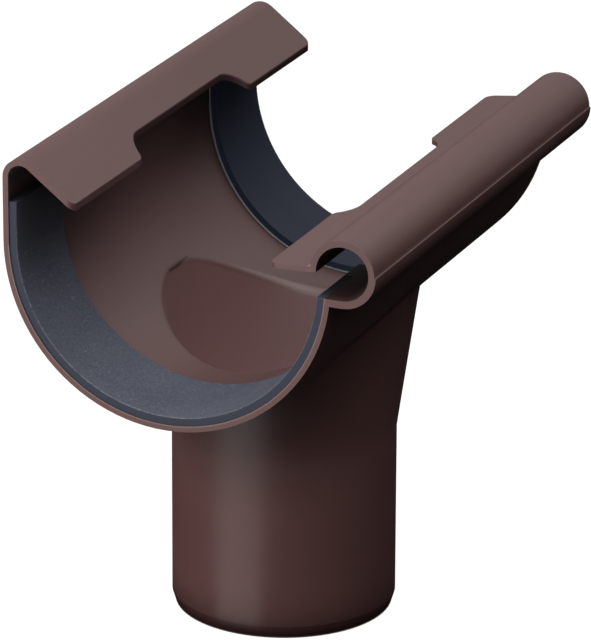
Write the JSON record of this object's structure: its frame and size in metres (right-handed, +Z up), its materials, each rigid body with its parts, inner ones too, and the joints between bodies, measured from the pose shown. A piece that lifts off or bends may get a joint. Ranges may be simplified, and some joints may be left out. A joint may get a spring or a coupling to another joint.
{
  "type": "gutter outlet",
  "caption": "Half-round gutter outlet with wall hook, front bead tube, rubber-sealed sockets and a flared spigot for a round downpipe.",
  "frame": {"origin": "on the axis of the spigot, at its lower end, on which the outlet stands", "axes": "+X along the gutter, +Y towards the wall and the hook, +Z up out of the spigot into the gutter"},
  "size_m": [0.2184, 0.1464, 0.2028],
  "materials": {
    "brown_plastic": "satin gloss, dark chocolate brown",
    "seal_rubber": "matt, slate grey"
  },
  "bodies": {
    "root": {"outlet_body": "brown_plastic", "seal_left": "seal_rubber", "seal_right": "seal_rubber"}
  },
  "joints": []
}
